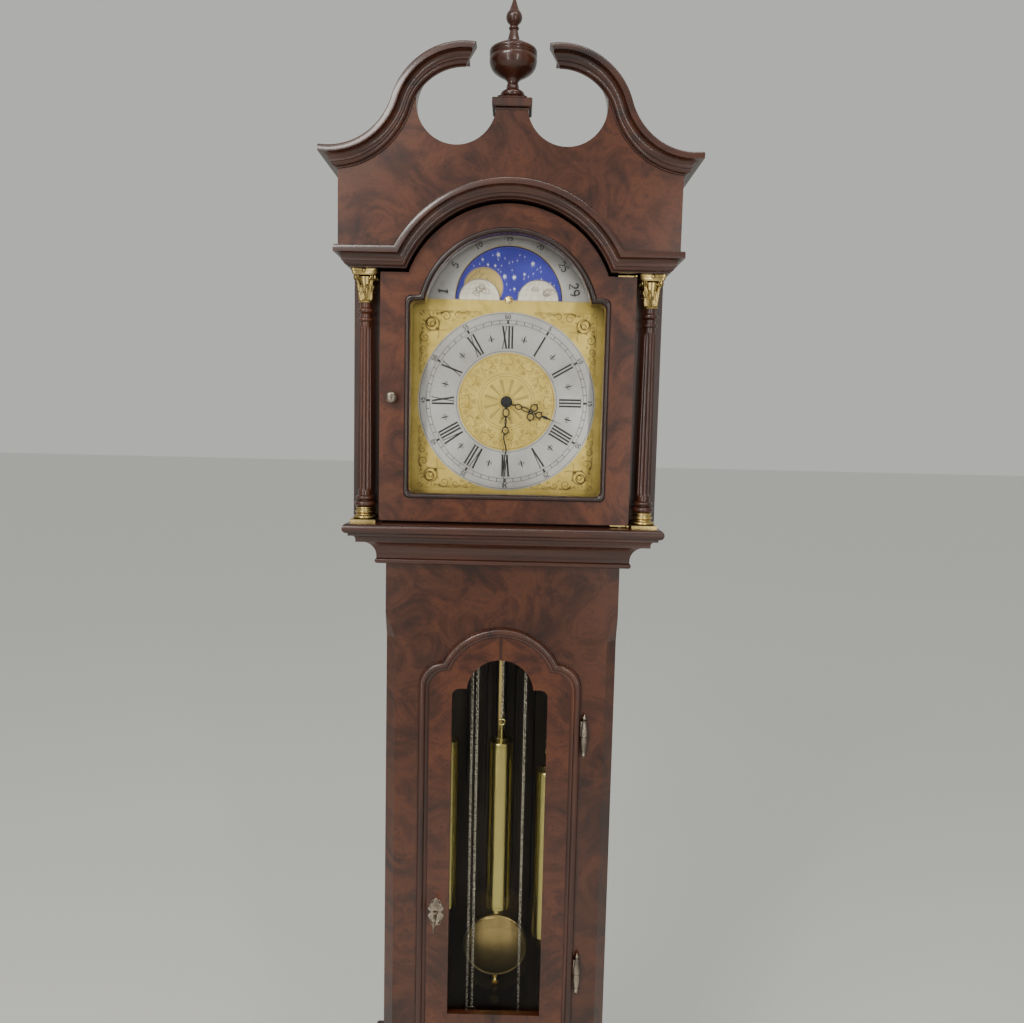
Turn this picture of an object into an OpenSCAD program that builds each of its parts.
// Longcase clock with a swan-neck hood, three weights on chains and a moon dial.
// Millimetres. X is the width, Y the depth (the front faces -Y), Z is up from the floor.
// The origin is the middle of the footprint, at the floor.

/* [Case] */
// Depth from the eave moulding to the back board
case_d = 305; // [260:1:370]
// Width across the eaves of the pediment
eave_w = 494; // [420:1:600]
// Width of the trunk
trunk_w = 332; // [300:1:380]
// Height of the trunk between its two mouldings
trunk_h = 831; // [700:1:1000]
// Height of the box at the foot, with its skirting
base_h = 430; // [360:1:520]
// Height of the hood between the waist moulding and the cornice
hood_h = 342; // [335:1:410]
// Thickness of the case boards
board_t = 16; // [12:1:18]
// Thickness of the back board
back_t = 8; // [6:1:12]

/* [Mouldings] */
// Height of the waist moulding under the hood
waist_h = 60; // [50:1:72]
// Projection of the waist moulding from the trunk
waist_p = 53; // [52:1:56]
// Height of the moulding between base and trunk
foot_mould_h = 40; // [33:1:48]
// Projection of the base box from the trunk
base_p = 32; // [27:1:38]
// Height of the cornice over the hood door
cornice_h = 26; // [24:1:31]
// Projection of the cornice
cornice_p = 19; // [18:1:23]
// Width of the swan-neck moulding
swan_h = 24.5; // [22:0.5:29]
// Projection of the swan-neck moulding
swan_p = 22; // [19:0.5:26]

/* [Doors] */
// Width of the hood door
hood_door_w = 344; // [336:1:345]
// Thickness of the hood door
hood_door_t = 22; // [18:1:24]
// Width of the glass opening in the hood door
sight_w = 263; // [250:1:270]
// Width of the trunk door over its moulding
trunk_door_w = 234; // [200:1:260]
// Height of the trunk door over its moulding
trunk_door_h = 650; // [545:1:660]
// Width of the window in the trunk door
window_w = 138; // [115:1:150]
// Thickness of the glass
glass_t = 3; // [2:0.5:4]
// Gap around a door and between sliding or turning pieces
door_gap = 2; // [1:0.5:3]

/* [Clock] */
// Width of the dial plate
dial_w = 280; // [240:1:284]
// Diameter of the chapter ring
ring_d = 250; // [210:1:256]
// Diameter of a weight
weight_d = 39; // [33:1:44]
// Length of a weight
weight_h = 268; // [224:1:320]
// Diameter of the pendulum bob
bob_d = 104; // [90:1:120]
// Distance from the pendulum's pivot to the middle of its bob
pendulum_l = 928; // [780:1:940]
// Radius at which the chains run on their wheels
chain_r = 19; // [16:0.5:21]

/* [Hidden] */
$fn = 64;
big = 2000;
fit = 0.05;       // radial running clearance of a shaft
gap = 0.5;        // clearance between bodies that pass each other
butt = 0.1;       // glue line of a butt joint

// ---- heights ----
foot_h = 10;
plinth_h = 90;
z_trunk = base_h + foot_mould_h + foot_h;
z_waist = z_trunk + trunk_h;
z_hood = z_waist + waist_h;
z_cornice = z_hood + hood_h;
z_frieze = z_cornice + cornice_h;
frieze_rise = 121;
z_eave = z_frieze + frieze_rise;      // top line of the swan moulding at the eave

// ---- planes across the depth ----
y_front = -case_d / 2;
y_back = case_d / 2;
y_in = y_back - back_t;
y_frieze = y_front + swan_p;
pediment_t = 19;
y_cornice = y_frieze + 11;
y_hood_door = y_frieze + 22;
y_hood_frame = y_hood_door + hood_door_t + door_gap;
hood_frame_t = 16;
y_trunk = y_frieze + 52;
y_trunk_in = y_trunk + board_t;
y_base = y_trunk - base_p;

// ---- half widths ----
trunk_x = trunk_w / 2;
base_x = trunk_x + base_p;
plinth_p = 12;
frieze_x = eave_w / 2 - swan_p;
hood_x = frieze_x - 14;
hood_side_t = 12;
column_x = hood_x - 18.5;
column_y = y_hood_frame - 17.7;

// ---- arch over the hood door ----
arch_drop = 55.5;                      // arch centre below the cornice
z_arch = z_cornice - arch_drop;
arch_foot = 136.4;                     // half width of the arch at the cornice
arch_r = sqrt(arch_foot * arch_foot + arch_drop * arch_drop);
arch_out = arch_r + cornice_h - 2.4;
arch_clear = 3;

// ---- dial ----
z_dial = z_hood + 170;
y_dial = y_hood_door + 50;
dial_t = 2;
ring_t = 1.5;
z_moon = z_dial + 141;
moon_r = 75;
hemi_r = 29;
hemi_x = 41;
moon_x = 40;
dial_arch_r = 118;
dial_arch_drop = 22;

// ---- movement ----
plate_t = 2.5;
y_plate_front = y_dial + 16.5;
y_plate_back = y_plate_front + 62;
seat_t = 18;
z_seat = z_hood + 14;
plate_x = 98;
plate_h = 205;
z_plates = z_seat + seat_t;
chain_y = y_plate_front + 34;
z_chain = z_plates + 62;
chain_x = [-62, -16, 57];              // middles of the three chain wheels
weight_side = [-1, 1, 1];              // the side of its wheel on which each weight hangs
weight_z = [1028, 1028, 983] ;         // top of each weight, above the floor, with the full trunk
chain_end_z = [560, 590, 575];
arbor_r = 2;
z_pendulum = z_plates + 197;
pendulum_y = y_plate_back + 10;
z_escape = z_pendulum - 28;
escape_r = 14;

function arc(cx, cy, r, a0, a1, n) =
    [for (i = [0:n]) let (a = a0 + (a1 - a0) * i / n) [cx + r * cos(a), cy + r * sin(a)]];
function mirrored(pts) = [for (i = [len(pts) - 1:-1:0]) [-pts[i][0], pts[i][1]]];

// A crown moulding from its lower edge up: [projection, height]
function crown(p, h) =
    let (f = 0.06 * h, ro = 0.22 * h, s = 0.07 * h, rc = 0.30 * h, b = 2)
    concat([[b, 0], [b, f]],
        arc(b, f + ro, ro, -90, 0, 5),
        [[b + ro + b, f + ro], [b + ro + b, f + ro + s]],
        arc(b + ro + b + rc, f + ro + s, rc, 180, 90, 6),
        [[p, f + ro + s + rc], [p, h - 1.5], [p - 1.5, h]]);

// The waist moulding from its lower edge up, on a projection p and height h
function waist(p, h) =
    let (bead = 4, lip = 7, cove = 22, small = 6, low = (h - 49) * 0.3, mid = (h - 49) * 0.4)
    concat([[10, 0]], arc(10, bead, bead, -90, 90, 8), [[12, 2 * bead], [12, 2 * bead + low]],
        arc(12 + cove, 2 * bead + low, cove, 180, 90, 8),
        [[37, 2 * bead + low + cove], [37, h - 2 * lip - small - low]],
        arc(37 + small, h - 2 * lip - small - low, small, 180, 90, 4),
        [[p - lip, h - 2 * lip - low]], arc(p - lip, h - lip, lip, -90, 90, 8));

// The moulding on top of the base box, from its lower edge up
function footing(p, h) =
    let (nose = 5, cove = min(p - 6, h - 2 * nose - 4))
    concat([[p, 0]], arc(p, nose, nose, -90, 90, 8), [[cove + 4, 2 * nose], [cove + 4, 2 * nose + 2]],
        arc(cove + 4, 2 * nose + 2 + cove, cove, -90, -180, 8), [[4, h]]);

// A moulding on the front and both sides of a box, mitred at its corners
module mitred(half, y0, y1, z0, pts, inner) {
    lo = pts[0][1];
    hi = pts[len(pts) - 1][1];
    reach = max([for (p = pts) p[0]]) + 1;
    right = [for (p = pts) [half + p[0], p[1]]];
    difference() {
        intersection() {
            translate([0, y1, z0]) rotate([90, 0, 0]) linear_extrude(y1 - y0 + reach)
                polygon(concat(right, mirrored(right)));
            translate([0, 0, z0]) rotate([90, 0, 90]) linear_extrude(2 * (half + reach), center = true)
                polygon(concat([for (p = pts) [y0 - p[0], p[1]]], [[y1, hi], [y1, lo]]));
        }
        translate([-half + inner, y0 + inner, z0 - 1]) cube([2 * (half - inner), y1 - y0, hi + 2]);
    }
}

// A board with its outline in X and Z, from y to y + t
module board(y, t) translate([0, y + t, 0]) rotate([90, 0, 0]) linear_extrude(t) children();

module box3(x0, y0, z0, x1, y1, z1) translate([x0, y0, z0]) cube([x1 - x0, y1 - y0, z1 - z0]);

module both_sides() {
    children();
    mirror([1, 0, 0]) children();
}

// A rod along Y
module rod_y(x, y, z, r, l) translate([x, y, z]) rotate([-90, 0, 0]) cylinder(h = l, r = r);

// A toothed wheel in X and Z, from y to y + t
module wheel(x, y, z, teeth, tip, t, bore) {
    board(y, t) translate([x, z]) difference() {
        polygon([for (i = [0:2 * teeth - 1]) let (r = tip - (i % 2) * min(1.2, tip * 0.12))
            [r * cos(i * 180 / teeth), r * sin(i * 180 / teeth)]]);
        circle(bore);
        if (tip > 12) for (k = [0:4]) rotate(72 * k + 36) translate([tip * 0.52, 0]) circle(tip * 0.2);
    }
}

// ================= base =================
module feet() {
    inset = 26;
    color("dimgray") for (x = [-1, 1], y = [y_base + inset, y_in - inset])
        translate([x * (base_x + plinth_p - inset), y, 0]) {
            cylinder(h = foot_h * 0.6, r = 15);
            cylinder(h = foot_h, r = 6);
        }
}

module plinth() {
    x = base_x + plinth_p;
    y = y_base - plinth_p;
    leg = 75;
    rise = 28;
    color("saddlebrown") difference() {
        box3(-x, y, foot_h, x, y_in, foot_h + plinth_h);
        box3(-x + board_t, y + board_t, 0, x - board_t, y_in + 1, big);
        box3(-x + leg, y - 1, 0, x - leg, y + board_t + 1, foot_h + rise);
        for (s = [-1, 1]) rod_y(s * (x - leg), y - 1, foot_h, rise, board_t + 2);
    }
    color("saddlebrown") both_sides()
        box3(x - board_t - 40, y + board_t, foot_h, x - board_t, y_in, foot_h + 12);
}

module base_front() {
    t = 10;
    color("saddlebrown") box3(-base_x, y_base, foot_h + plinth_h, base_x, y_base + board_t, z_trunk - foot_mould_h);
    color("sienna") difference() {
        box3(-base_x + 55, y_base - t / 2, foot_h + plinth_h + 55, base_x - 55, y_base, z_trunk - foot_mould_h - 50);
        box3(-base_x + 67, y_base - t, foot_h + plinth_h + 67, base_x - 67, y_base, z_trunk - foot_mould_h - 62);
    }
}

module base_sides() color("saddlebrown") both_sides()
    box3(base_x - board_t, y_base + board_t, foot_h + plinth_h, base_x, y_in, z_trunk - foot_mould_h);

module base_floor() {
    color("tan") box3(-base_x + board_t, y_base + board_t, foot_h + plinth_h, base_x - board_t, y_in,
        foot_h + plinth_h + board_t);
}

module base_moulding() color("saddlebrown")
    mitred(trunk_x, y_trunk, y_in, z_trunk - foot_mould_h, footing(base_p + 6, foot_mould_h), 0);

// ================= trunk =================
door_x = trunk_door_w / 2;
mould_w = 15;
mould_t = 8.5;
lip = 8;
door_top = z_waist - 91;
door_foot = door_top - trunk_door_h;
arch_half = 84;                        // half width of the raised arch on the door
shoulder_drop = 51;                    // shoulder below the crown of the arch
window_side = door_x - window_w / 2;

// Outline of the arched door, d inside its outer edge
module door_outline(d) {
    half = door_x - d;
    top = door_top - d;
    foot = door_foot + d;
    a = arch_half - d * 0.8;
    drop = shoulder_drop - d * 0.1;
    r = (a * a + drop * drop) / (2 * drop);
    corner = max(2, 34 - d * 0.5);
    translate([-half, foot]) square([2 * half, top - drop - corner - foot]);
    translate([-half + corner, foot]) square([2 * (half - corner), top - drop - foot]);
    both_sides() translate([half - corner, top - drop - corner]) circle(corner);
    intersection() {
        translate([0, top - r]) circle(r);
        translate([-a, top - drop - 1]) square([2 * a, drop + 2]);
    }
}

// Outline of the window in the door
module window_outline(d) {
    half = window_w / 2 - d;
    top = door_top - 48 - d;
    foot = door_foot + 58 + d;
    a = 48 - d;
    drop = 43;
    r = (a * a + drop * drop) / (2 * drop);
    corner = 11;
    translate([-half, foot]) square([2 * half, top - drop - corner - foot]);
    translate([-half + corner, foot]) square([2 * (half - corner), top - drop - foot]);
    both_sides() translate([half - corner, top - drop - corner]) circle(corner);
    intersection() {
        translate([0, top - r]) circle(r);
        translate([-a, top - drop - 1]) square([2 * a, drop + 2]);
    }
}

chamfer = board_t - 1.5;
stop_l = 40;                           // length of the slanting stop at each end of a chamfer
chamfer_z = [z_trunk + 100, z_waist - 109];
// A cutter whose flat side lies on the chamfer and slants out at both ends
module chamfer_cut() translate([trunk_x, y_trunk, 0]) rotate([0, 0, -45]) translate([0, 60, 0])
    rotate([90, 0, 0]) linear_extrude(120) polygon([
        [-chamfer / sqrt(2), chamfer_z[0]], [-chamfer / sqrt(2), chamfer_z[1]], [1, chamfer_z[1] + stop_l],
        [60, chamfer_z[1] + stop_l], [60, chamfer_z[0] - stop_l], [1, chamfer_z[0] - stop_l]]);

module trunk_front() color("saddlebrown") difference() {
    box3(-trunk_x, y_trunk, z_trunk, trunk_x, y_trunk_in, z_waist);
    board(y_trunk - 1, board_t + 2) door_outline(lip);
    both_sides() chamfer_cut();
}

module trunk_sides() color("saddlebrown") both_sides()
    box3(trunk_x - board_t, y_trunk_in, z_trunk - foot_mould_h, trunk_x, y_in, z_seat);

// Three boards butted together
module back_board() color("peru") difference() {
    union() {
        box3(-base_x, y_in, foot_h + plinth_h, base_x, y_back, z_trunk - foot_mould_h - butt);
        box3(-trunk_x, y_in, z_trunk - foot_mould_h, trunk_x, y_back, z_hood - butt);
        box3(-hood_x, y_in, z_hood, hood_x, y_back, z_frieze);
        box3(-frieze_x, y_in, z_frieze, frieze_x, y_back, z_eave - swan_h + 10);
    }
    rod_y(0, y_in - 1, z_hood + 300, 2.5, back_t + 2);
}

module waist_moulding() color("saddlebrown")
    mitred(trunk_x, y_trunk, y_in, z_waist, waist(waist_p, waist_h), 0);

// ================= hood =================
side_z0 = 84;
side_z1 = 264;
module side_opening(d) box3(hood_x - hood_side_t - 1, y_hood_frame + 45 + d, z_hood + side_z0 + d,
    hood_x + 1, y_in - 50 - d, z_hood + side_z1 - d);

module hood_sides() color("saddlebrown") both_sides() {
    difference() {
        box3(hood_x - hood_side_t, y_hood_frame, z_hood, hood_x, y_in, z_cornice);
        side_opening(0);
    }
    box3(frieze_x - board_t, y_frieze + pediment_t, z_frieze, frieze_x, y_in, z_eave - swan_h);
}

module side_windows() color("sienna") both_sides() {
    x = hood_x - hood_side_t + 3;
    difference() {
        intersection() {
            side_opening(0);
            box3(x, y_front, z_hood, hood_x + 1.5, y_back, z_cornice);
        }
        side_opening(14);
    }
    intersection() {
        side_opening(14);
        box3(x + 2, y_front, z_hood, x + 2 + glass_t, y_back, z_cornice);
    }
}

// The arched top of the hood, as an outline in X and Z
module hood_arch(r, half) intersection() {
    translate([0, z_arch]) circle(r);
    translate([-half, z_cornice - 40]) square([2 * half, r + 40]);
}

module sight_outline(d) {
    half = sight_w / 2 - d;
    shoulder = z_dial + 132;
    a = 112 - d;
    drop = 91;
    r = (a * a + drop * drop) / (2 * drop);
    corner = 8;
    foot = z_hood + 42 + d;
    translate([-half + corner, foot]) square([2 * (half - corner), shoulder - d - foot]);
    translate([-half, foot + corner]) square([2 * half, shoulder - d - foot - 2 * corner]);
    for (s = [-1, 1], z = [foot + corner, shoulder - d - corner]) translate([s * (half - corner), z]) circle(corner);
    intersection() {
        translate([0, shoulder - d + drop - r]) circle(r);
        translate([-a, shoulder - 30]) square([2 * a, drop + 60]);
    }
}

module hood_frame() color("saddlebrown") difference() {
    union() {
        box3(-hood_x + hood_side_t, y_hood_frame, z_hood, hood_x - hood_side_t, y_hood_frame + hood_frame_t, z_cornice);
        board(y_hood_frame, hood_frame_t) hood_arch(arch_r, hood_x - hood_side_t);
    }
    board(y_hood_frame - 1, hood_frame_t + 2) sight_outline(-2);
}

// The swan neck: a convex arc from the horn, then a concave one down to the eave
c1 = [60, z_eave + 32];
r2 = 86;
c2_dx = frieze_x + swan_p - 11.5;
c2 = [c2_dx, z_eave + r2];
join = atan2(c2[1] - c1[1], c2[0] - c1[0]);
s1 = norm(c2 - c1) - r2;               // radius of the convex arc that meets the concave one
horn_a = 98;
horn_cut = 14;
neck_x = 20;
cut_r = 52;
cut_x = neck_x + cut_r;
cut_z = z_eave + 61;
z_neck = z_eave + 53;                  // top of the neck, under the finial
function swan_path(drop) = concat(
    [for (i = [0:14]) let (a = horn_a + (join - horn_a) * i / 14) [c1[0] + (s1 - drop) * cos(a), c1[1] + (s1 - drop) * sin(a)]],
    [for (i = [1:12]) let (a = 180 + join + (90 - join) * i / 12) [c2[0] + (r2 + drop) * cos(a), c2[1] + (r2 + drop) * sin(a)]]);

module lobe() difference() {
    polygon(concat(swan_path(2), [[frieze_x, z_eave - 2], [frieze_x, z_frieze], [0, z_frieze], [0, z_neck], [neck_x, z_neck]]));
    translate([cut_x, cut_z]) circle(cut_r);
    translate([neck_x, z_neck]) square([cut_x - neck_x, cut_z + cut_r - z_neck]);
    translate([-1, cut_z + cut_r - 1]) square([57, 100]);
    translate([frieze_x, z_frieze]) square([100, 400]);
}

module pediment_board() color("sienna") board(y_frieze, pediment_t) difference() {
    both_sides() lobe();
    translate([0, z_arch]) circle(arch_out);
}

module roof_board() color("peru")
    box3(-frieze_x, y_frieze + pediment_t, z_eave - swan_h, frieze_x, y_in, z_eave - swan_h + 10);

module hood_cornice() {
    pts = crown(cornice_p, cornice_h);
    color("saddlebrown") difference() {
        mitred(hood_x, y_cornice, y_in, z_cornice, pts, hood_side_t);
        board(y_front - 50, 60 + pediment_t + swan_p) translate([0, z_arch]) circle(arch_out - 0.01);
        // room for the door's shoulders and the pediment board behind the front run
        box3(-hood_x + hood_side_t, y_frieze + pediment_t, z_cornice - 1, hood_x - hood_side_t, y_in + 1, z_frieze + 1);
    }
    color("saddlebrown") intersection() {
        translate([0, 0, z_arch]) rotate([90, 0, 0]) rotate_extrude($fn = 128)
            polygon(concat([[arch_r, -(y_frieze + pediment_t)]],
                [for (p = pts) [arch_r + p[1] * (arch_out - arch_r) / cornice_h, -y_cornice + p[0]]],
                [[arch_out, -(y_frieze + pediment_t)]]));
        board(y_front - 50, 250) arch_wedge();
    }
}

// The part of the plane over the line where arch and cornice meet
module arch_wedge() {
    out = sqrt(arch_out * arch_out - pow(z_frieze - z_arch, 2));
    slope = (out - arch_foot) / cornice_h;
    polygon([[-arch_foot, z_cornice], [arch_foot, z_cornice], [arch_foot + slope * 60, z_cornice + 60],
        [arch_foot + slope * 60, z_cornice + 200], [-arch_foot - slope * 60, z_cornice + 200],
        [-arch_foot - slope * 60, z_cornice + 60]]);
}

// One swan-neck moulding, swept along the two arcs
module swan_half() {
    pts = concat([[0, swan_h]], [for (p = mirror_crown(crown(swan_p, swan_h))) p], [[0, 0]]);
    n = 14;
    m = 12;
    st = concat(
        [for (i = [0:n]) let (a = horn_a + (join - horn_a) * i / n) [c1, s1, a, 1, max(0, 1 - i / 2)]],
        [for (i = [1:m]) let (a = 180 + join + (97 - join) * i / m) [c2, r2, a, -1, 0]]);
    k = len(pts);
    ring = [for (s = st) for (p = pts)
        let (rad = s[1] - s[3] * p[1], skew = s[4] * horn_cut * p[1] / swan_h)
        [s[0][0] + rad * cos(s[2]) + skew, y_frieze - p[0], s[0][1] + rad * sin(s[2])]];
    polyhedron(ring, concat(
        [[for (j = [k - 1:-1:0]) j]],
        [for (i = [0:len(st) - 2]) for (j = [0:k - 1]) [i * k + j, i * k + (j + 1) % k, (i + 1) * k + (j + 1) % k, (i + 1) * k + j]],
        [[for (j = [0:k - 1]) (len(st) - 1) * k + j]]));
}
function mirror_crown(pts) = [for (i = [0:len(pts) - 1]) [pts[i][0], swan_h - pts[i][1]]];

module swan_mouldings() color("saddlebrown") {
    // the front runs, cut to the mitre with the returns along the sides
    both_sides() intersection() {
        swan_half();
        board(y_front - 1, swan_p + 2) polygon(concat([[0, z_eave - 2 * swan_h]],
            [for (p = crown(swan_p, swan_h)) [frieze_x + p[0], z_eave - swan_h + p[1]]],
            [[frieze_x + swan_p, z_eave], [frieze_x + swan_p, z_eave + 300], [0, z_eave + 300]]));
    }
    eave_returns();
}

module eave_returns() both_sides() translate([0, y_in, z_eave - swan_h]) rotate([90, 0, 0])
    linear_extrude(y_in - y_frieze) polygon(concat([[frieze_x, 0]],
        [for (p = crown(swan_p, swan_h)) [frieze_x + p[0], p[1]]], [[frieze_x, swan_h]]));

finial_y = y_frieze + 17;
module finial() {
    z_urn = z_neck + 30;
    // stepped block on the neck
    color("saddlebrown") {
        box3(-neck_x - 2, finial_y - 18, z_neck, neck_x + 2, finial_y + 18, z_neck + 4);
        box3(-neck_x - 6, finial_y - 22, z_neck + 4, neck_x + 6, finial_y + 22, z_neck + 15);
        box3(-neck_x + 1, finial_y - 17, z_neck + 15, neck_x - 1, finial_y + 17, z_neck + 19);
    }
    // turned urn with an acorn tip
    color("saddlebrown") translate([0, finial_y, z_neck + 19]) rotate_extrude()
        polygon(concat([[0, 0], [13, 0]], arc(11, 5, 5, -60, 70, 5),
            [[9, 12], [8, 16]], arc(11, 20, 4, 240, 170, 3), [[11, 26], [20, 31]],
            arc(13, 48, 18, -55, 12, 8), [[29, 54], [31, 56], [31, 61], [28, 63]],
            arc(10, 52, 18, 38, 80, 4), [[8, 74], [6.5, 80], [5, 86]],
            arc(4.5, 88.5, 2, -60, 70, 3), arc(0.5, 102, 10, -45, 45, 6), [[4, 116], [0, 128.5]]));
}

column_h = hood_h;
cap_h = 45;
foot_h2 = 22;
cap_w = 35;
module column_shafts() color("saddlebrown") both_sides() translate([column_x, column_y, z_hood])
    rotate_extrude() polygon(concat([[0, foot_h2], [11, foot_h2]],
        arc(10, foot_h2 + 4, 4, -70, 70, 4), [[8.6, foot_h2 + 9]],
        arc(9.5, foot_h2 + 12, 3, -70, 70, 4), [[8.8, foot_h2 + 18], [9.6, column_h * 0.42],
            [9.2, column_h * 0.6], [7.4, column_h - cap_h - 26]],
        arc(8, column_h - cap_h - 22, 2.5, -70, 70, 4), [[7.2, column_h - cap_h - 16]],
        arc(8, column_h - cap_h - 10, 3, -70, 70, 4), [[7.4, column_h - cap_h - 4], [7.4, column_h - cap_h], [0, column_h - cap_h]]));

module column_capitals() both_sides() translate([column_x, column_y, z_cornice - cap_h]) {
    rotate_extrude() polygon([[0, 0], [9, 0], [9, 3], [8, 5], [9, 18], [12, 28], [12, 30], [0, 30]]);
    translate([-cap_w / 2 + 2, -cap_w / 2 + 2, 30]) cube([cap_w - 4, cap_w - 4, 9]);
    translate([-cap_w / 2, -cap_w / 2, 39]) cube([cap_w, cap_w, 6]);
}

module column_bases() both_sides() translate([column_x, column_y, z_hood]) {
    translate([-cap_w / 2, -cap_w / 2, 0]) cube([cap_w, cap_w, 5]);
    translate([0, 0, 5]) rotate_extrude()
        polygon(concat([[0, 0], [12, 0]], arc(10.5, 3, 3, -60, 90, 4), arc(10.5, 9, 3, -90, 90, 5), [[9.5, 13], [9.5, 17], [0, 17]]));
}

module column_brasses() color("gold") {
    column_capitals();
    column_bases();
}

// ================= hood door =================
hinge_x = hood_door_w / 2 - 1;
eye_r = 3;
pin_r = 1.5;
leaf_t = 1.5;
door_z0 = z_hood + 3.5;
door_z1 = z_cornice - 3.5;
rebate = 6;

module hood_door() color("sienna") difference() {
    union() {
        box3(-hood_door_w / 2, y_hood_door, door_z0, hood_door_w / 2, y_hood_door + hood_door_t, door_z1);
        board(y_hood_door, hood_door_t) hood_arch(arch_r - arch_clear, arch_foot - arch_clear);
    }
    board(y_hood_door - 1, hood_door_t + 2) sight_outline(0);
    board(y_hood_door + 10, hood_door_t) sight_outline(-rebate);
}

module hood_door_bead() color("maroon") board(y_hood_door - 3.5, 3.5) difference() {
    sight_outline(-7);
    sight_outline(0);
}

module hood_glass() color("lightcyan", 0.35) board(y_hood_door + 10, glass_t) sight_outline(-rebate + gap);

module hood_knob() color("silver") translate([-hood_door_w / 2 + 17, y_hood_door, z_dial + 2]) rotate([90, 0, 0])
    rotate_extrude() polygon(concat([[0, 0], [6, 0], [6, 1.5], [3, 3], [2.6, 7], [5, 9]],
        arc(4, 12, 3.6, -30, 80, 5), [[0, 15.6]]));

// Eye plates on the door's lower and upper corners
module hood_door_pivots() color("gold") for (z = [door_z0 - 1.8, door_z1])
    translate([hinge_x, y_hood_door, z]) difference() {
        union() {
            cylinder(h = 1.8, r = eye_r);
            translate([-24, 0.5, 0]) cube([24, 10, 1.8]);
        }
        translate([0, 0, -1]) cylinder(h = 4, r = pin_r + fit);
    }

// Pins that the eyes turn on, fixed to the waist moulding and the cornice
module hood_pins() {
    translate([hinge_x, y_hood_door, z_hood]) {
        translate([-6, -eye_r - 1, 0]) cube([9, 8, leaf_t]);
        cylinder(h = 3.3, r = pin_r);
    }
    translate([hinge_x, y_hood_door, z_cornice]) {
        translate([-6, -eye_r - 4, -leaf_t]) cube([9, 12, leaf_t]);
        translate([0, 0, -3.3]) cylinder(h = 3.3, r = pin_r);
    }
}

// ================= trunk door =================
slab_y = y_trunk - gap;
slab_t = board_t + 1.5;
slab_in = lip + door_gap;
trunk_hinge_x = door_x + 5.5;
trunk_hinge_y = y_trunk - 6;
trunk_hinge_z = [z_waist - 247, z_trunk + 220];
knuckle_r = 5;
half_l = 23;
lock_x = -(door_x - mould_w - 14);
lock_z = z_trunk + 309;
shank_r = 3;

module trunk_door() color("sienna") difference() {
    board(slab_y, slab_t) door_outline(slab_in);
    board(slab_y - 1, slab_t + 2) window_outline(0);
    board(slab_y + 9, slab_t) window_outline(-5);
    rod_y(lock_x, slab_y - 1, lock_z, shank_r + fit, slab_t + 2);
}

module trunk_door_moulding() color("saddlebrown") for (k = [[0, 5, 5], [2, 12, 8.5]])
    board(slab_y - k[2], k[0] == 0 ? k[2] : 3.5) difference() {
        door_outline(k[0]);
        door_outline(k[0] == 0 ? mould_w : k[1]);
    }

module trunk_glass() color("lightcyan", 0.35) board(slab_y + 9, glass_t) window_outline(-5 + gap);

module hinge_tip(s) translate([0, 0, s * half_l]) rotate([s > 0 ? 0 : 180, 0, 0]) rotate_extrude()
    polygon(concat([[0, 0], [3.5, 0], [4.2, 1.5], [2.2, 3]], arc(1, 6, 2.6, -50, 60, 5), [[0, 10]]));

// Upper halves of the lift-off hinges, on the door
module trunk_hinge_leaves() color("silver") for (z = trunk_hinge_z)
    translate([trunk_hinge_x, trunk_hinge_y, z]) {
        difference() {
            union() {
                translate([0, 0, 0.3]) cylinder(h = half_l - 0.3, r = knuckle_r);
                translate([-trunk_hinge_x + door_x, -1, 0.3]) cube([trunk_hinge_x - door_x, 2, half_l - 0.3]);
            }
            translate([0, 0, -1]) cylinder(h = 18, r = 2 + fit);
        }
        hinge_tip(1);
    }

// Lower halves with their pins, on the trunk
module trunk_pins() for (z = trunk_hinge_z)
    translate([trunk_hinge_x, trunk_hinge_y, z]) {
        translate([0, 0, -half_l]) cylinder(h = half_l, r = knuckle_r);
        cylinder(h = 16, r = 2);
        translate([0, y_trunk - trunk_hinge_y - 1.2, -half_l]) cube([14, 1.2, half_l]);
        hinge_tip(-1);
    }

module hinge_pins() color("gold") {
    hood_pins();
    trunk_pins();
}

module escutcheon() color("silver") board(slab_y - 1.5, 1.5) translate([lock_x, lock_z]) difference() {
    union() {
        circle(10);
        for (s = [-1, 1]) {
            translate([0, s * 13]) circle(6);
            translate([s * 8, 7]) circle(4.5);
            translate([s * 8, -7]) circle(4.5);
            translate([0, s * 19]) circle(3);
        }
    }
    circle(shank_r + fit);
}

// Key with its shank through the door and the cam behind it
module key() color("silver") {
    rod_y(lock_x, slab_y - 16, lock_z, shank_r, 16 + slab_t + 3);
    translate([lock_x - 1.5, slab_y - 28, lock_z]) rotate([90, 0, 90]) linear_extrude(3) difference() {
        union() {
            translate([3, 0]) circle(11);
            translate([3, 10]) circle(5);
            translate([3, -10]) circle(5);
        }
        for (s = [-1, 1]) translate([2, s * 5]) circle(3.2);
    }
    box3(lock_x - 4, slab_y + slab_t + 0.5, lock_z - 5, lock_x + 4, slab_y + slab_t + 3, lock_z + 26);
}

// ================= movement =================
third_tip = 26;
centre_tip = 28;
mesh_gap = 0.4;
pinion_a = 3.8;
pinion_b = 3.5;
d1 = centre_tip + mesh_gap + pinion_a;
d2 = third_tip + mesh_gap + pinion_b;
escape_rise = z_escape - z_dial;
third_up = (d1 * d1 - d2 * d2 + escape_rise * escape_rise) / (2 * escape_rise);
third_x = sqrt(d1 * d1 - third_up * third_up);
third_z = z_dial + third_up;
cannon_tip = 8;
motion_d = 32.4;
minute_x = motion_d * cos(50);
minute_z = z_dial - motion_d * sin(50);
small_r = 1.5;
stop_t = 0.3;

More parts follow.
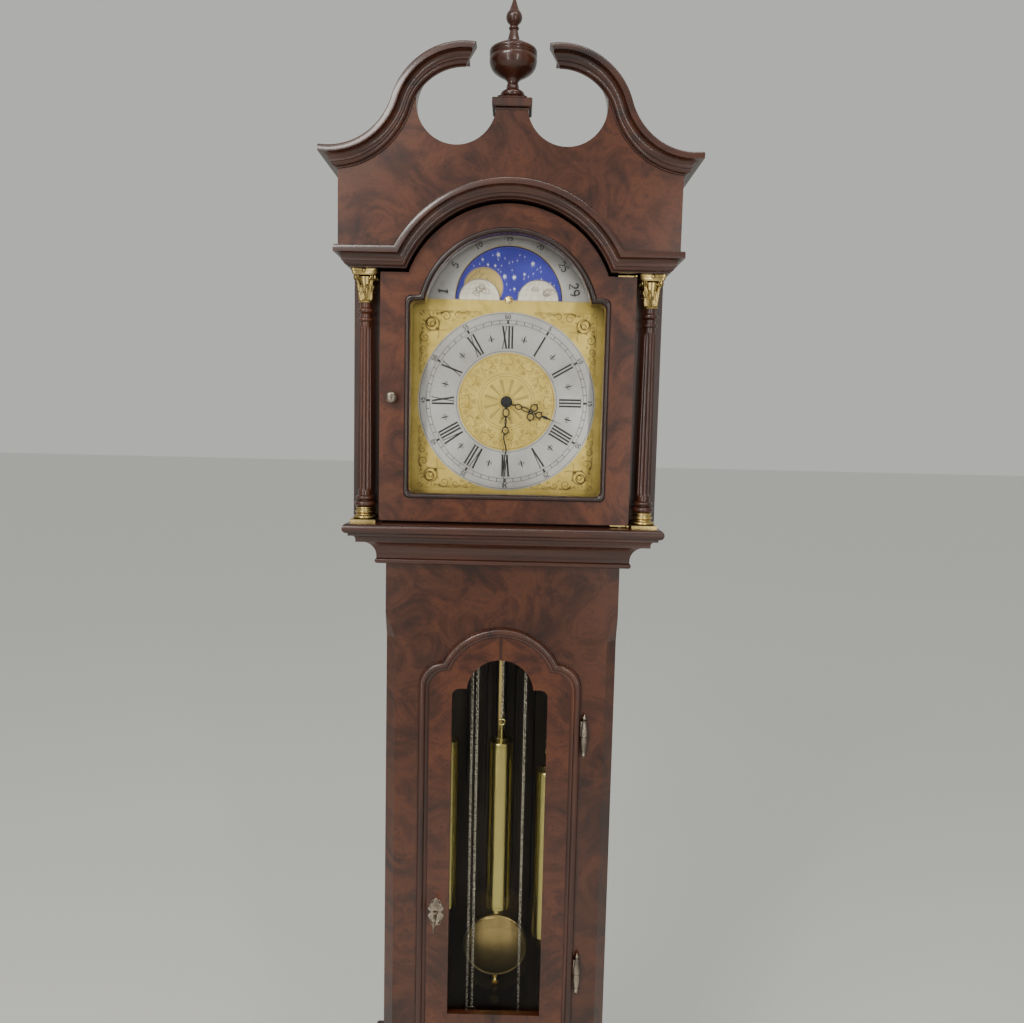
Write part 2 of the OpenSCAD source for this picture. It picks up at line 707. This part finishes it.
module seat_board() color("tan") difference() {
    box3(-trunk_x, y_dial + 18, z_seat, trunk_x, pendulum_y + 40, z_seat + seat_t);
    for (x = chain_x, s = [-1, 1]) box3(x + s * chain_r - 6, chain_y - 6, z_seat - 1, x + s * chain_r + 6, chain_y + 6, big);
    box3(-24, pendulum_y - 9, z_seat - 1, 24, pendulum_y + 9, big);
}

module movement_frame() color("gold") {
    for (y = [y_plate_front, y_plate_back]) difference() {
        box3(-plate_x, y, z_plates, plate_x, y + plate_t, z_plates + plate_h);
        rod_y(0, y - 1, z_dial, arbor_r + fit, plate_t + 2);
        rod_y(third_x, y - 1, third_z, small_r + fit, plate_t + 2);
        rod_y(0, y - 1, z_escape, small_r + fit, plate_t + 2);
        rod_y(0, y - 1, z_pendulum, small_r + fit, plate_t + 2);
    }
    for (s = [-1, 1], z = [z_plates + 12, z_plates + plate_h - 12])
        rod_y(s * (plate_x - 5), y_plate_front + plate_t, z, 4, y_plate_back - y_plate_front - plate_t);
    rod_y(minute_x, y_plate_front - 8, minute_z, arbor_r, 8);
    // cock that the pendulum hangs from
    box3(-14, y_plate_back + plate_t, z_pendulum + 4, 14, pendulum_y + 4, z_pendulum + 8);
}

module chain_wheels() color("gold") for (x = chain_x) {
    rod_y(x, y_plate_front + plate_t, z_chain, 2.5, y_plate_back - y_plate_front - plate_t);
    wheel(x, chain_y - 5, z_chain, 24, chain_r - 2, 2, 2.5);
    wheel(x, chain_y + 3, z_chain, 24, chain_r - 2, 2, 2.5);
    rod_y(x, chain_y - 3, z_chain, chain_r - 5, 6);
}

module centre_arbor() color("gold") {
    rod_y(0, y_dial - 16, z_dial, arbor_r, y_plate_back + plate_t - y_dial + 16);
    rod_y(0, y_dial - 14.5, z_dial, 5, 3.5);
    wheel(0, y_dial + 12, z_dial, 20, cannon_tip, 2, arbor_r);
    wheel(0, y_plate_front + 12, z_dial, 80, centre_tip, 2, arbor_r);
}

module hour_wheel() color("gold") {
    board(y_dial - 6, 14) translate([0, z_dial]) difference() {
        circle(4);
        circle(arbor_r + fit);
    }
    wheel(0, y_dial + 8, z_dial, 60, motion_d - 6.4 - mesh_gap, 2, arbor_r + fit);
}

module minute_wheel() color("gold") {
    wheel(minute_x, y_dial + 12, minute_z, 60, motion_d - cannon_tip - mesh_gap, 2, arbor_r + fit);
    wheel(minute_x, y_dial + 9, minute_z, 15, 6.4, 3, arbor_r + fit);
}

module third_wheel() color("gold") {
    rod_y(third_x, y_plate_front, third_z, small_r, y_plate_back + plate_t - y_plate_front);
    wheel(third_x, y_plate_front + 12, third_z, 10, pinion_a, 2, small_r);
    wheel(third_x, y_plate_front + 42, third_z, 75, third_tip, 2, small_r);
}

module escape_wheel() color("gold") {
    rod_y(0, y_plate_front, z_escape, small_r, y_plate_back + plate_t - y_plate_front);
    wheel(0, y_plate_front + 42, z_escape, 10, pinion_b, 2, small_r);
    wheel(0, y_plate_front + 50, z_escape, 30, escape_r, 2, small_r);
}

module anchor() color("silver") {
    rod_y(0, y_plate_front + 48, z_pendulum, small_r, pendulum_y - 3 - y_plate_front - 48);
    board(y_plate_front + 50, 2) translate([0, z_pendulum]) {
        circle(4);
        both_sides() polygon([[0, 3], [3, 1], [17, -12], [17, -20], [14.5, -20], [14, -14], [0, -4]]);
    }
    box3(-1.5, pendulum_y - 6, z_pendulum - 46, 1.5, pendulum_y - 4, z_pendulum);
    box3(-1.5, pendulum_y - 4, z_pendulum - 46, 1.5, pendulum_y - 2, z_pendulum - 43);
}

module pendulum_rod() color("gold") {
    z = z_pendulum - pendulum_l;
    box3(-3, pendulum_y - 1.2, z - bob_d / 2 - 24, 3, pendulum_y + 1.2, z_pendulum - 2);
    translate([0, pendulum_y, z - bob_d / 2 - 20]) cylinder(h = 8, r = 7);
}

// Bob with a slot that the rod passes through
module pendulum_bob() color("gold") difference() {
    translate([0, pendulum_y, z_pendulum - pendulum_l]) rotate([90, 0, 0]) rotate_extrude() intersection() {
        polygon(concat(arc(0, -150, 160, 90, 71, 10), arc(0, 150, 160, -71, -90, 10)));
        translate([0, -10]) square([bob_d / 2, 20]);
    }
    box3(-3, pendulum_y - 1.2, 0, 3, pendulum_y + 1.2, big);
}

hook_h = 34;
module weight(i) {
    x = chain_x[i] + weight_side[i] * chain_r;
    top = z_waist + weight_z[i] - 1311;
    color("gold") translate([x, chain_y, top]) {
        translate([0, 0, -weight_h]) cylinder(h = weight_h, r = weight_d / 2);
        cylinder(h = hook_h - 11, r = 2.5);
        translate([0, 1.4, hook_h - 6]) rotate([90, 0, 0]) linear_extrude(2.8) difference() {
            circle(6);
            circle(3.2);
        }
    }
}
module weight_left() weight(0);
module weight_centre() weight(1);
module weight_right() weight(2);

link_r = 1.3;
module chain(i) {
    x = chain_x[i] + weight_side[i] * chain_r;
    z = z_waist + weight_z[i] - 1311 + hook_h + gap;
    color("dimgray") translate([x, chain_y, z]) cylinder(h = z_chain - z, r = link_r);
}
module chain_left() chain(0);
module chain_centre() chain(1);
module chain_right() chain(2);

module free_chain(i) {
    x = chain_x[i] - weight_side[i] * chain_r;
    color("dimgray") translate([x, chain_y, chain_end_z[i]]) {
        cylinder(h = z_chain - chain_end_z[i], r = link_r);
        translate([0, 0, -5]) rotate([90, 0, 0]) rotate_extrude($fn = 32) translate([5, 0]) circle(1.2, $fn = 16);
    }
}
module free_chain_left() free_chain(0);
module free_chain_centre() free_chain(1);
module free_chain_right() free_chain(2);

// ================= dial =================
module dial_plate() color("khaki") {
    board(y_dial, dial_t) difference() {
        union() {
            translate([-dial_w / 2, z_dial - dial_w / 2]) square(dial_w);
            intersection() {
                translate([0, z_dial + dial_w / 2 - dial_arch_drop]) circle(dial_arch_r);
                translate([-dial_w / 2, z_dial]) square([dial_w, dial_w]);
            }
        }
        translate([0, z_dial]) circle(6);
        difference() {
            intersection() {
                translate([0, z_moon]) circle(moon_r);
                translate([-moon_r, z_moon]) square([2 * moon_r, moon_r]);
            }
            for (s = [-1, 1]) translate([s * hemi_x, z_moon]) circle(hemi_r);
            translate([0, z_moon]) circle(6);
        }
    }
    rod_y(0, y_dial + dial_t, z_moon, arbor_r, 4);
    for (s = [-1, 1], z = [-50, 45])
        rod_y(s * (plate_x - 6), y_dial + dial_t, z_dial + z, 3, y_plate_front - y_dial - dial_t);
}

module chapter_ring() color("silver") board(y_dial - ring_t, ring_t) translate([0, z_dial]) difference() {
    circle(ring_d / 2);
    circle(ring_d / 2 - 56);
}

module centre_disc() color("khaki") board(y_dial - ring_t, ring_t) translate([0, z_dial]) difference() {
    circle(ring_d / 2 - 56.5);
    circle(6);
}

module moon_arch() {
    color("silver") board(y_dial - 1.2, 1.2) translate([0, z_moon]) {
        intersection() {
            difference() {
                translate([0, z_dial + dial_w / 2 - dial_arch_drop - z_moon]) circle(dial_arch_r - 2);
                circle(moon_r + 0.5);
            }
            translate([-dial_w / 2, 0]) square([dial_w, dial_w / 2]);
        }
        circle(5);
    }
    color("white") for (s = [-1, 1]) board(y_dial - 1.2, 1.2) translate([s * hemi_x, z_moon]) difference() {
        circle(hemi_r);
        translate([-50, -50]) square([100, 50]);
    }
}

module moon_disc() color("royalblue") board(y_dial + dial_t + 1, 1) translate([0, z_moon]) difference() {
    circle(moon_r - 1);
    circle(arbor_r + fit);
}

minute_now = 181;                      // clockwise from twelve
hour_now = 111;
module hand_at(a, y) board(y, 1) translate([0, z_dial]) rotate(-a) children();

module minute_hand() color("black") hand_at(minute_now, y_dial - 11) {
    difference() {
        union() {
            circle(7);
            translate([-1.5, 4]) square([3, ring_d * 0.37]);
            translate([0, 28]) circle(6);
            translate([0, 44]) circle(7);
            polygon([[-2.5, 60], [2.5, 60], [0.4, ring_d / 2 - 4], [-0.4, ring_d / 2 - 4]]);
        }
        circle(arbor_r);
        translate([0, 28]) circle(3);
        translate([0, 44]) circle(4);
    }
}

module hour_hand() color("black") hand_at(hour_now, y_dial - 7) {
    difference() {
        union() {
            circle(8);
            translate([-1.5, 4]) square([3, 60]);
            translate([0, 22]) circle(6);
            for (s = [-1, 1]) translate([s * 8, 42]) circle(7);
            translate([0, 50]) circle(6);
            polygon([[-3, 56], [3, 56], [0.4, 84], [-0.4, 84]]);
        }
        circle(arbor_r + fit);
        translate([0, 22]) circle(3);
        for (s = [-1, 1]) translate([s * 8, 42]) circle(4);
    }
}

module chime_rods() {
    y = y_in - 18;
    color("dimgray") {
        box3(-70, y - 12, z_seat - 60, 70, y_in, z_seat - 40);
        for (i = [0:7]) translate([-56 + 16 * i, y, z_seat - 60 - 420 - 30 * i]) cylinder(h = 420 + 30 * i, r = 1.8, $fn = 24);
    }
}

feet();
plinth();
base_front();
base_sides();
base_floor();
base_moulding();
trunk_front();
trunk_sides();
back_board();
waist_moulding();
hood_sides();
side_windows();
hood_frame();
pediment_board();
roof_board();
hood_cornice();
swan_mouldings();
finial();
column_shafts();
column_brasses();
hood_door();
hood_door_bead();
hood_glass();
hood_knob();
hood_door_pivots();
hinge_pins();
trunk_door();
trunk_door_moulding();
trunk_glass();
trunk_hinge_leaves();
escutcheon();
key();
seat_board();
movement_frame();
dial_plate();
chapter_ring();
centre_disc();
moon_arch();
chime_rods();
chain_wheels();
minute_hand();
centre_arbor();
hour_hand();
hour_wheel();
minute_wheel();
moon_disc();
third_wheel();
escape_wheel();
anchor();
pendulum_rod();
pendulum_bob();
weight_left();
weight_centre();
weight_right();
chain_left();
chain_centre();
chain_right();
free_chain_left();
free_chain_centre();
free_chain_right();
